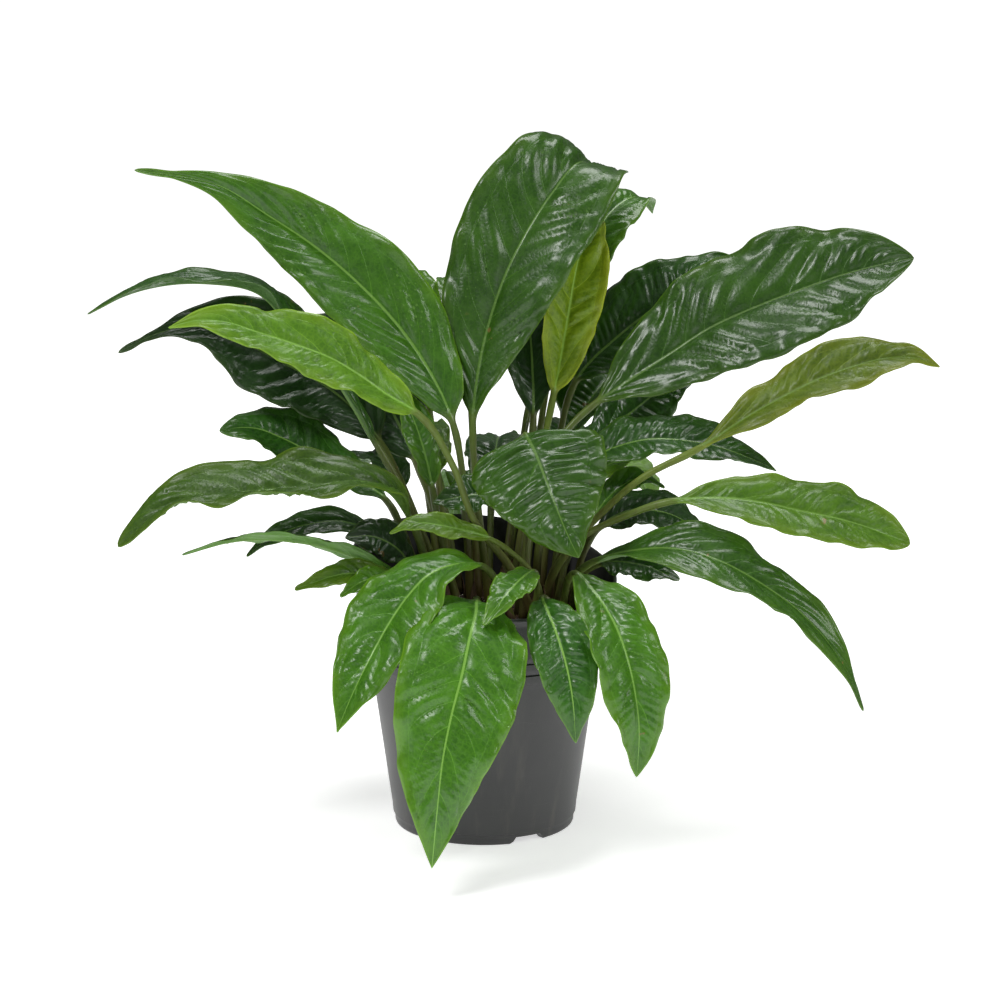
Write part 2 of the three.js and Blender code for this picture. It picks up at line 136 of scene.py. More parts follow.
class MixSizes(PropertyGroup):
    crumbs: IntProperty(
        name="Crumbs", description="Number of bark crumbs on the potting mix", default=2600, min=10,
    )
    crumb: FloatProperty(
        name="Crumb size", description="Radius of a middling bark crumb", default=0.0022, unit="LENGTH",
    )
    grains: IntProperty(
        name="Perlite grains", description="Number of pale perlite grains", default=260, min=0,
    )
    grain: FloatProperty(
        name="Grain size", description="Radius of a middling perlite grain", default=0.0013, unit="LENGTH",
    )
    seed: IntProperty(name="Seed", description="Seed of the scattered crumbs", default=7)
    peat: FloatVectorProperty(
        name="Peat", description="Colour of the damp mix",
        default=(0.022, 0.013, 0.008), **COLOUR,
    )
    bark: FloatVectorProperty(
        name="Bark", description="Colour of the bark crumbs",
        default=(0.075, 0.040, 0.020), **COLOUR,
    )
    perlite: FloatVectorProperty(
        name="Perlite", description="Colour of the perlite grains",
        default=(0.62, 0.60, 0.55), **COLOUR,
    )


class LeafSizes(PropertyGroup):
    thickness: FloatProperty(
        name="Thickness", description="Thickness of a blade away from its midrib",
        default=0.0011, unit="LENGTH",
    )
    vein_gap: FloatProperty(
        name="Vein gap", description="Distance between side veins along the midrib",
        default=0.026, unit="LENGTH",
    )
    vein_lean: FloatProperty(
        name="Vein lean", description="Share of the blade's length a side vein climbs on its way to the margin",
        default=0.20,
    )
    quilt: FloatProperty(
        name="Quilting", description="Rise of the blade between two side veins", default=0.0030, unit="LENGTH",
    )
    pucker: FloatProperty(
        name="Puckers", description="Depth of the small wrinkles between the side veins",
        default=0.0008, unit="LENGTH",
    )
    inner_line: FloatProperty(
        name="Inner line", default=0.74, min=0.4, max=0.95,
        description="Share of the half width where the side veins meet a vein along the margin",
    )
    ruffle: FloatProperty(
        name="Ruffle", description="Height of the small waves along the margin", default=0.0011, unit="LENGTH",
    )
    rows: IntProperty(name="Rows", description="Rows of faces along a blade", default=128, min=20, max=300)
    stalk_rows: IntProperty(name="Stalk rows", description="Rows of faces along a stalk", default=22, min=6)
    half: IntProperty(name="Half", description="Faces across half a blade", default=16, min=4, max=40)
    mid: FloatVectorProperty(
        name="Mid green", description="Colour of the middling leaves",
        default=(0.030, 0.118, 0.004), **COLOUR,
    )
    dark: FloatVectorProperty(
        name="Dark green", description="Colour of the older leaves",
        default=(0.013, 0.062, 0.004), **COLOUR,
    )
    # Painted shade: a darker copy of the leaf green for the inner leaves, which lie in the shadow of the outer
    # ones.
    painted_shade_green: FloatVectorProperty(
        name="Deep green", description="Colour of the shaded inner leaves",
        default=(0.008, 0.038, 0.004), **COLOUR,
    )
    light: FloatVectorProperty(
        name="Light green", description="Colour of the younger leaves",
        default=(0.052, 0.150, 0.005), **COLOUR,
    )
    bright: FloatVectorProperty(
        name="Bright green", description="Colour of the newest leaves",
        default=(0.125, 0.240, 0.006), **COLOUR,
    )
    vein: FloatVectorProperty(
        name="Vein", description="Colour of the midrib and the side veins",
        default=(0.20, 0.33, 0.07), **COLOUR,
    )
    stalk: FloatVectorProperty(
        name="Stalk", description="Colour of the stalks",
        default=(0.110, 0.135, 0.022), **COLOUR,
    )
    stalk_brown: FloatVectorProperty(
        name="Brown stalk", description="Colour of the stalks near their foot",
        default=(0.080, 0.046, 0.016), **COLOUR,
    )


class SheathSizes(PropertyGroup):
    height: FloatProperty(
        name="Height", description="Length of a middling sheath", default=0.030, unit="LENGTH",
    )
    radius: FloatProperty(
        name="Radius", description="Radius of a sheath at its foot", default=0.0062, unit="LENGTH",
    )
    paper: FloatVectorProperty(
        name="Papery brown", description="Colour of the dry sheaths",
        default=(0.115, 0.066, 0.030), **COLOUR,
    )


class StudioSizes(PropertyGroup):
    floor: FloatProperty(name="Floor", description="Side of the square floor", default=60.0, unit="LENGTH")
    distance: FloatProperty(
        name="Distance", description="How far in front of the pot the camera stands",
        default=2.468, unit="LENGTH",
    )
    height: FloatProperty(
        name="Camera height", description="Height of the camera over the floor", default=0.816, unit="LENGTH",
    )
    aside: FloatProperty(
        name="Aside", description="How far the camera stands to the right of the pot's axis",
        default=0.014, unit="LENGTH",
    )
    tilt: FloatProperty(
        name="Tilt", description="Angle the camera looks down by", default=math.radians(12.0),
        subtype="ANGLE",
    )
    lens: FloatProperty(name="Lens", description="Focal length in millimetres", default=103.36)
    air: FloatProperty(name="Air", description="Strength of the even light from all sides", default=0.16, min=0)
    glow: FloatProperty(
        name="Floor glow", description="Light the paper floor gives by itself, which keeps it white",
        default=0.57, min=0,
    )


# ---------------------------------------------------------------- helpers


def unit(vectors):
    """Vectors scaled to length one, along their last axis."""
    length = np.linalg.norm(vectors, axis=-1, keepdims=True)
    return vectors / np.maximum(length, 1e-12)


def ease(low, high, value):
    """Smooth step from 0 at low to 1 at high."""
    x = np.clip((np.asarray(value, float) - low) / (high - low), 0, 1)
    return x * x * (3 - 2 * x)


def smooth_curve(knots, values, at):
    """Smooth curve through values given at rising knots, read at the places in at."""
    knots = np.asarray(knots, float)
    values = np.asarray(values, float)
    at = np.asarray(at, float)
    wide = (-1,) + (1,) * (values.ndim - 1)
    step = np.diff(knots)
    lift = np.diff(values, axis=0) / step.reshape(wide)
    slope = np.empty_like(values)
    share = (step[1:] / (step[1:] + step[:-1])).reshape(wide)
    slope[1:-1] = lift[:-1] * share + lift[1:] * (1 - share)
    slope[0] = lift[0]
    slope[-1] = lift[-1]
    i = np.clip(np.searchsorted(knots, at, side="right") - 1, 0, len(knots) - 2)
    h = step[i].reshape(wide)
    x = ((at - knots[i]) / step[i]).reshape(wide)
    return (
        values[i] * (1 + 2 * x) * (1 - x) ** 2
        + slope[i] * h * x * (1 - x) ** 2
        + values[i + 1] * x * x * (3 - 2 * x)
        + slope[i + 1] * h * x * x * (x - 1)
    )


def tint(colour, times, plus=0.0):
    """Colour multiplied and added to, and held at one."""
    return tuple(np.minimum(1, np.array(colour[:], float) * times + plus))


def new_piece(name, points, faces, material, smooth=True):
    """Mesh object at the origin made of points and faces, with one material."""
    mesh = bpy.data.meshes.new(name)
    mesh.from_pydata([tuple(p) for p in points], [], [tuple(f) for f in faces])
    if mesh.validate():
        raise RuntimeError(f"{name} had faulty faces")
    piece = bpy.data.objects.new(name, mesh)
    bpy.context.scene.collection.objects.link(piece)
    mesh.materials.append(material)
    if smooth:
        mesh.shade_smooth()
    return piece


def point_numbers(piece, name, values):
    """Stores one number per point for the material to read."""
    layer = piece.data.attributes.new(name, "FLOAT", "POINT")
    layer.data.foreach_set("value", np.asarray(values, np.float32))


def band_faces(a, b):
    """Faces between two rings of points, of which either may be a single point."""
    faces = []
    segments = max(len(a), len(b))
    for k in range(segments):
        n = (k + 1) % segments
        if len(a) == 1:
            faces.append((a[0], b[n], b[k]))
        elif len(b) == 1:
            faces.append((a[k], a[n], b[0]))
        else:
            faces.append((a[k], a[n], b[n], b[k]))
    return faces


def merged_copy(node):
    """Positions of a solid's points with its doubles merged, and the neighbours of each."""
    solid = bmesh.new()
    solid.from_mesh(frame["nodes"][node].data)
    bmesh.ops.remove_doubles(solid, verts=solid.verts, dist=1e-6)
    solid.verts.index_update()
    points = np.array([v.co[:] for v in solid.verts])
    beside = [{e.other_vert(v).index for e in v.link_edges} for v in solid.verts]
    solid.free()
    return points, beside


class Finish:
    """A material's node tree, built one node after another."""

    def __init__(self, name):
        self.material = bpy.data.materials.new(name)
        self.material.use_nodes = True
        self.tree = self.material.node_tree
        self.tree.nodes.clear()
        self.count = 0

    def node(self, kind, **settings):
        made = self.tree.nodes.new(kind)
        made.location = (220 * (self.count % 8), -260 * (self.count // 8))
        self.count += 1
        for key, value in settings.items():
            setattr(made, key, value)
        return made

    def feed(self, socket, value):
        if isinstance(value, bpy.types.NodeSocket):
            self.tree.links.new(value, socket)
        elif socket.type == "RGBA":
            socket.default_value = (*value[:3], 1.0)
        else:
            socket.default_value = value

    def number(self, name):
        return self.node("ShaderNodeAttribute", attribute_name=name).outputs["Fac"]

    def place(self):
        return self.node("ShaderNodeTexCoord").outputs["Object"]

    def stretch(self, vector, scale):
        made = self.node("ShaderNodeMapping")
        self.feed(made.inputs["Vector"], vector)
        made.inputs["Scale"].default_value = scale
        return made.outputs["Vector"]

    def math(self, operation, a, b=0.0):
        made = self.node("ShaderNodeMath", operation=operation)
        self.feed(made.inputs[0], a)
        self.feed(made.inputs[1], b)
        return made.outputs[0]

    def band(self, value, low, high, first=0.0, last=1.0):
        made = self.node("ShaderNodeMapRange", interpolation_type="SMOOTHSTEP")
        self.feed(made.inputs["Value"], value)
        for key, given in (("From Min", low), ("From Max", high), ("To Min", first), ("To Max", last)):
            made.inputs[key].default_value = given
        return made.outputs["Result"]

    def mix(self, share, a, b, blend="MIX"):
        made = self.node("ShaderNodeMix", data_type="RGBA", blend_type=blend)
        self.feed(made.inputs["Factor"], share)
        colour_a, colour_b, colour_out = made.inputs[6], made.inputs[7], made.outputs[2]
        self.feed(colour_a, a)
        self.feed(colour_b, b)
        return colour_out

    def noise(self, vector, scale, detail=3.0, rough=0.55):
        made = self.node("ShaderNodeTexNoise")
        self.feed(made.inputs["Vector"], vector)
        made.inputs["Scale"].default_value = scale
        made.inputs["Detail"].default_value = detail
        made.inputs["Roughness"].default_value = rough
        return made.outputs["Fac"]

    def cells(self, vector, scale):
        made = self.node("ShaderNodeTexVoronoi", feature="DISTANCE_TO_EDGE")
        self.feed(made.inputs["Vector"], vector)
        made.inputs["Scale"].default_value = scale
        return made.outputs["Distance"]

    def bump(self, height, strength, distance, after=None):
        made = self.node("ShaderNodeBump")
        made.inputs["Strength"].default_value = strength
        made.inputs["Distance"].default_value = distance
        self.feed(made.inputs["Height"], height)
        if after is not None:
            self.feed(made.inputs["Normal"], after)
        return made.outputs["Normal"]

    def surface(self, colour, rough, normal=None, **steady):
        shader = self.shader = self.node("ShaderNodeBsdfPrincipled")
        self.feed(shader.inputs["Base Color"], colour)
        self.feed(shader.inputs["Roughness"], rough)
        if normal is not None:
            self.feed(shader.inputs["Normal"], normal)
        for key, value in steady.items():
            shader.inputs[key.replace("_", " ")].default_value = value
        out = self.node("ShaderNodeOutputMaterial")
        self.tree.links.new(shader.outputs["BSDF"], out.inputs["Surface"])
        return self.material


# ---------------------------------------------------------------- pot


def rim_plane():
    """Middle height of the rim, and how it leans along x and y, from the pot's solid."""
    points, _ = merged_copy("pot")
    spokes = 48
    step = 2 * math.pi / spokes
    turn = np.arctan2(points[:, 1], points[:, 0])
    spoke = np.round(turn / step).astype(int) % spokes
    rows, heights = [], []
    for k in range(spokes):
        rows.append([1.0, math.cos(k * math.pi / 24), math.sin(k * math.pi / 24)])
        heights.append(points[spoke == k, 2].max())
    return np.linalg.lstsq(np.array(rows), np.array(heights), rcond=None)[0]


def pot_plastic(sizes):
    """Dark moulded plastic with a fine grain, scuffs and dry splashes near the foot."""
    f = Finish("pot_plastic")
    place = f.place()
    broad = f.noise(place, 9.0, 4.0)
    fine = f.noise(place, 900.0, 2.0)
    drips = f.noise(f.stretch(place, (60.0, 60.0, 9.0)), 1.0, 5.0, 0.65)
    scuffs = f.noise(f.stretch(place, (40.0, 40.0, 420.0)), 1.0, 3.0, 0.6)
    lighter = tint(sizes.plastic, 1.35)
    colour = f.mix(f.band(broad, 0.35, 0.70), tuple(sizes.plastic), lighter)
    height = f.node("ShaderNodeSeparateXYZ")
    f.feed(height.inputs[0], place)
    low = f.band(height.outputs["Z"], 0.0, 0.16, 0.65, 0.12)
    dusty = f.math("MULTIPLY", f.band(drips, 0.48, 0.74), low)
    colour = f.mix(dusty, colour, tuple(sizes.dust))
    worn = f.math("MULTIPLY", f.band(scuffs, 0.62, 0.78), 0.35)
    colour = f.mix(worn, colour, tint(sizes.plastic, 1.9))
    rough = f.band(broad, 0.25, 0.75, 0.36, 0.50)
    normal = f.bump(fine, 0.18, 0.0004)
    normal = f.bump(scuffs, 0.10, 0.0004, normal)
    return f.surface(colour, rough, normal, Specular_IOR_Level=0.5)


class ANTHURIUM_OT_pot(Operator):
    """Moulds the nursery pot: foot ring with notches, tapered wall, grooved soft collar and leaning rim"""

    bl_idname = "anthurium.pot"
    bl_label = "Nursery Pot"

    segments = 192
    notch_turn = -1.06
    notch_ramp = 0.03

    def profile(self, s, top):
        """Radius and height of every row, from the middle of the floor, up outside and down inside."""

        def wall(z):
            return s.foot_radius + s.draft * z

        def collar(z):
            return s.collar_radius + s.collar_draft * (z - s.collar_height)

        g = s.groove
        rows = [(0.0, 0.0), (0.045, 0.0), (0.052, 0.0), (0.0528, 0.0012), (0.054, 0.006)]
        rows += [(0.062, 0.0062), (0.070, 0.006), (0.0712, 0.001), (0.0722, 0.0)]
        rows += [(s.foot_radius - 0.0014, 0.0), (s.foot_radius - 0.0004, 0.0005), (s.foot_radius, 0.0016)]
        rows += [(s.foot_radius + 0.0002, 0.005), (s.foot_radius, s.foot_height - 0.0006)]
        rows += [(s.foot_radius + 0.0006, s.foot_height)]
        rows += [(wall(s.foot_height) + 0.0007, s.foot_height + 0.0006)]
        for k in range(1, 18):
            z = s.foot_height + 0.0006 + k * (s.collar_height - s.foot_height - 0.0016) / 17
            rows.append((wall(z) + 0.0002, z))
        low = s.collar_height
        rows += [(wall(low) + 0.0004, low - 0.0003), (s.collar_radius - 0.0010, low + 0.0002)]
        rows += [(s.collar_radius - 0.0001, low + 0.0009), (collar(low + 0.003), low + 0.003)]
        rows += [(collar(low + 0.008), low + 0.008)]
        for z in (low + 0.012, low + 0.0265):
            rows += [(collar(z - 0.0012), z - 0.0012), (collar(z - 0.0005) - g * 0.8, z - 0.0005)]
            rows += [(collar(z) - g, z), (collar(z + 0.0006) - g * 0.7, z + 0.0006)]
            rows += [(collar(z + 0.0014), z + 0.0014), (collar(z + 0.007), z + 0.007)]
        for k in range(1, 7):
            z = low + 0.0345 + k * (top - 0.005 - low - 0.0345) / 6
            rows.append((collar(z), z))
        rows += [(collar(top) + 0.0006, top - 0.0038), (collar(top) + 0.0010, top - 0.0026)]
        rows += [(collar(top) + 0.0007, top - 0.0010), (collar(top) - 0.0002, top - 0.0001)]
        rows += [(collar(top) - 0.0012, top), (collar(top) - s.wall, top - 0.0008)]
        rows += [(collar(top - 0.004) - s.wall, top - 0.004)]
        for k in range(1, 6):
            z = top - 0.004 - k * (top - 0.004 - low - 0.008) / 6
            rows.append((collar(z) - s.wall, z))
        rows += [(collar(low + 0.008) - s.wall, low + 0.008), (wall(low) - s.wall, low - 0.002)]
        rows += [(wall(0.08) - s.wall, 0.08), (wall(s.foot_height) - s.wall, s.foot_height)]
        rows += [(0.05, s.foot_height - 0.001), (0.048, s.wall), (0.0, s.wall)]
        return rows

    def execute(self, context):
        s = context.scene.anthurium_pot
        middle, lean_x, lean_y = rim_plane()
        rows = self.profile(s, middle)
        low = s.collar_height
        points, rings = [], []
        half_notch = s.notch_width / 2 / s.foot_radius
        for radius, z in rows:
            ring = []
            for k in range(1 if radius == 0 else self.segments):
                turn = 2 * math.pi * k / self.segments
                r, up = radius, z
                if z > low + 0.0005:
                    rim = middle + lean_x * math.cos(turn) + lean_y * math.sin(turn)
                    up = low + (z - low) * (rim - low) / (middle - low)
                    r = radius + s.collar_draft * (up - z)
                    soft = min(1.0, (z - low) / (middle - low))
                    r += soft * (0.0009 * math.sin(3 * turn + 0.7) + 0.0006 * math.sin(5 * turn + 2.1))
                if s.notches and 0.0705 < radius < s.foot_radius + 0.001 and z < s.notch_height:
                    step = 2 * math.pi / s.notches
                    off = abs((turn - self.notch_turn + step / 2) % step - step / 2)
                    if off < half_notch:
                        ramp = min(1.0, (half_notch - off) / self.notch_ramp) ** 0.5
                        up = max(z, s.notch_height * ramp)
                ring.append(len(points))
                points.append((r * math.cos(turn), r * math.sin(turn), up))
            rings.append(ring)
        faces = []
        for a, b in zip(rings, rings[1:]):
            faces += band_faces(a, b)
        piece = new_piece("nursery_pot", points, faces, pot_plastic(s))
        piece.data.set_sharp_from_angle(angle=math.radians(50))
        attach(piece, "root")
        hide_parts("pot")
        return {"FINISHED"}


# ---------------------------------------------------------------- potting mix


def crumb_finish(name, colour, pale, rough):
    """Rough broken surface for bark, peat or perlite."""
    f = Finish(name)
    place = f.place()
    patch = f.noise(place, 240.0, 4.0, 0.65)
    fine = f.noise(place, 1400.0, 3.0, 0.7)
    tone = f.mix(f.band(patch, 0.30, 0.72), tuple(colour), tuple(pale))
    normal = f.bump(fine, 0.8, 0.0006)
    return f.surface(tone, f.band(patch, 0.2, 0.8, rough, min(1.0, rough + 0.12)), normal)


def scatter_tree(name, material):
    """Geometry Nodes tree that strews small broken lumps over a surface."""
    tree = bpy.data.node_groups.new(name, "GeometryNodeTree")
    face = tree.interface
    face.new_socket("Geometry", in_out="INPUT", socket_type="NodeSocketGeometry")
    for label, kind, value in (
        ("Count", "NodeSocketInt", 500), ("Size", "NodeSocketFloat", 0.002), ("Seed", "NodeSocketInt", 1),
        ("Flatness", "NodeSocketFloat", 0.6),
    ):
        socket = face.new_socket(label, in_out="INPUT", socket_type=kind)
        socket.default_value = value
    face.new_socket("Geometry", in_out="OUTPUT", socket_type="NodeSocketGeometry")

    def add(kind, values=(), **settings):
        made = tree.nodes.new(kind)
        for key, value in settings.items():
            setattr(made, key, value)
        for socket, value in values:
            made.inputs[socket].default_value = value
        return made

    given = add("NodeGroupInput")
    spread = add("GeometryNodeDistributePointsOnFaces")
    area = add("GeometryNodeAttributeStatistic", domain="FACE")
    face_area = add("GeometryNodeInputMeshFaceArea")
    density = add("ShaderNodeMath", operation="DIVIDE")
    lump = add("GeometryNodeMeshIcoSphere", [("Subdivisions", 1)])
    lumps = add("GeometryNodeInstanceOnPoints")
    turns = [(0, (-0.5, -0.5, 0.0)), (1, (0.5, 0.5, 6.283))]
    turn = add("FunctionNodeRandomValue", turns, data_type="FLOAT_VECTOR")
    scales = [(0, (0.5, 0.35, 0.3)), (1, (1.9, 1.2, 0.9))]
    size = add("FunctionNodeRandomValue", scales, data_type="FLOAT_VECTOR")
    flat = add("ShaderNodeCombineXYZ", [(0, 1.0), (1, 1.0)])
    shape = add("ShaderNodeVectorMath", operation="MULTIPLY")
    real = add("GeometryNodeRealizeInstances")
    coat = add("GeometryNodeSetMaterial", [("Material", material)])
    out = add("NodeGroupOutput")
    for source, output, target, socket in (
        (given, "Geometry", area, "Geometry"), (face_area, "Area", area, 2),
        (given, "Count", density, 0), (area, "Sum", density, 1),
        (given, "Geometry", spread, "Mesh"), (density, 0, spread, "Density"),
        (given, "Seed", spread, "Seed"), (given, "Size", lump, "Radius"),
        (spread, "Points", lumps, "Points"), (lump, "Mesh", lumps, "Instance"),
        (given, "Seed", turn, "Seed"), (turn, 0, lumps, "Rotation"),
        (given, "Seed", size, "Seed"), (given, "Flatness", flat, 2),
        (size, 0, shape, 0), (flat, 0, shape, 1), (shape, 0, lumps, "Scale"),
        (lumps, "Instances", real, "Geometry"), (real, "Geometry", coat, "Geometry"),
        (coat, "Geometry", out, "Geometry"),
    ):
        tree.links.new(source.outputs[output], target.inputs[socket])
    return tree


def grown(name, base, tree, settings, material):
    """Runs a Geometry Nodes tree on a base mesh and returns the plain result."""
    modifier = base.modifiers.new(name, "NODES")
    modifier.node_group = tree
    for item in tree.interface.items_tree:
        if item.item_type == "SOCKET" and item.in_out == "INPUT" and item.name in settings:
            modifier[item.identifier] = settings[item.name]
    graph = bpy.context.evaluated_depsgraph_get()
    mesh = bpy.data.meshes.new_from_object(base.evaluated_get(graph))
    base.modifiers.remove(modifier)
    mesh.name = name
    mesh.materials.clear()
    mesh.materials.append(material)
    piece = bpy.data.objects.new(name, mesh)
    bpy.context.scene.collection.objects.link(piece)
    return piece


class ANTHURIUM_OT_potting_mix(Operator):
    """Fills the pot with damp peat and strews bark crumbs and perlite grains over it"""

    bl_idname = "anthurium.potting_mix"
    bl_label = "Potting Mix"

    def execute(self, context):
        s = context.scene.anthurium_mix
        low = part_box("potting_mix")[0].z
        pot = context.scene.anthurium_pot
        radius = pot.collar_radius + pot.collar_draft * (MIX_TOP - pot.collar_height) - pot.wall - 0.0016
        rng = np.random.default_rng(s.seed)
        waves = [(rng.uniform(60, 240), rng.uniform(0, 6.28), rng.uniform(0, 6.28)) for _ in range(14)]
        points, rings = [(0.0, 0.0, MIX_TOP)], []
        segments, steps = 128, 44
        for i in range(1, steps + 1):
            r = radius * i / steps
            ring = []
            for k in range(segments):
                turn = 2 * math.pi * k / segments
                x, y = r * math.cos(turn), r * math.sin(turn)
                z = sum(math.sin(n * (x * math.cos(a) + y * math.sin(a)) + b) for n, a, b in waves)
                z = 0.00045 * z - 0.003 * ease(0.8, 1.0, i / steps)
                ring.append(len(points))
                points.append((x, y, MIX_TOP + float(z)))
            rings.append(ring)
        faces = [(0, rings[0][k], rings[0][(k + 1) % segments]) for k in range(segments)]
        for a, b in zip(rings, rings[1:]):
            for k in range(segments):
                n = (k + 1) % segments
                faces.append((a[k], b[k], b[n], a[n]))
        peat = crumb_finish("damp_peat", s.peat, tint(s.peat, 2.4), 0.82)
        cover = new_piece("mix_cover", points, faces, peat)
        wall = pot.foot_radius + pot.draft * (pot.collar_height - 0.004) - pot.wall - 0.0012
        floor = pot.foot_radius + pot.draft * low - pot.wall - 0.0006
        last = rings[-1]
        collar = pot.collar_height
        for r, z in ((wall + 0.004, collar + 0.006), (wall, collar - 0.006), (floor, low)):
            ring = []
            for k in range(segments):
                turn = 2 * math.pi * k / segments
                ring.append(len(points))
                points.append((r * math.cos(turn), r * math.sin(turn), z))
            for k in range(segments):
                n = (k + 1) % segments
                faces.append((last[k], ring[k], ring[n], last[n]))
            last = ring
        points.append((0.0, 0.0, low))
        for k in range(segments):
            faces.append((last[(k + 1) % segments], last[k], len(points) - 1))
        body = new_piece("peat_body", points, faces, peat)
        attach(body, "root")
        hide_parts("potting_mix")
        kinds = (
            ("bark_crumbs", s.bark, 0.74, s.crumbs, s.crumb, 0.75, s.seed),
            ("dark_crumbs", s.peat, 0.86, s.crumbs // 2, s.crumb * 1.3, 0.6, s.seed + 1),
            ("perlite_grains", s.perlite, 0.80, s.grains, s.grain, 0.9, s.seed + 2),
        )
        for name, colour, rough, count, size, flat, seed in kinds:
            finish = crumb_finish(name, colour, tint(colour, 1.7), rough)
            tree = scatter_tree(name, finish)
            settings = {"Count": count, "Size": size, "Seed": seed, "Flatness": flat}
            piece = grown(name, cover, tree, settings, finish)
            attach(piece, "root")
        bpy.data.objects.remove(cover)
        return {"FINISHED"}


# ---------------------------------------------------------------- leaves


def leaf_rings(node):
    """Foot point, fourteen rings of eight points and tip point of a leaf's solid.

    Each ring runs left edge, left upper, upper midrib, right upper, right edge, right lower, keel, left lower.
    """
    points, beside = merged_copy(node)
    poles = [i for i, near in enumerate(beside) if len(near) == RING_POINTS]
    if len(poles) != 2:
        raise RuntimeError(f"{node} has {len(poles)} poles")
    poles.sort(key=lambda i: abs(points[i][2] - MIX_TOP - FOOT_GAP))
    foot, tip = poles
    seen = {foot}
    loops, layer = [], set(beside[foot])
    while tip not in layer:
        if len(layer) != RING_POINTS:
            raise RuntimeError(f"{node} has a ring of {len(layer)} points")
        loops.append(layer)
        seen |= layer
        layer = {n for i in layer for n in beside[i]} - seen
    rings, right = [], None
    for number, loop in enumerate(loops):
        if number + 1 < len(loops):
            rib = [i for i in loop if len(beside[i] & loops[number + 1]) == 1]
        else:
            rib = [i for i in loop if len(beside[i] & loops[number - 1]) == 3]
        if len(rib) != 1:
            raise RuntimeError(f"{node} has no clear midrib at ring {number}")
        sides = list(beside[rib[0]] & loop)
        if right is None:
            middle = points[list(loop)].mean(0)
            spoke = points[rib[0]] - middle
            turned = [np.cross(spoke, points[i] - middle)[2] for i in sides]
            step = sides[int(np.argmin(turned))]
        else:
            step = [i for i in sides if right in beside[i]][0]
        right = step
        order = [rib[0], step]
        while len(order) < RING_POINTS:
            order.append([i for i in beside[order[-1]] & loop if i not in order[-2:]][0])
        rings.append(points[[order[6], order[7], *order[:6]]])
    return points[foot], np.array(rings), points[tip]


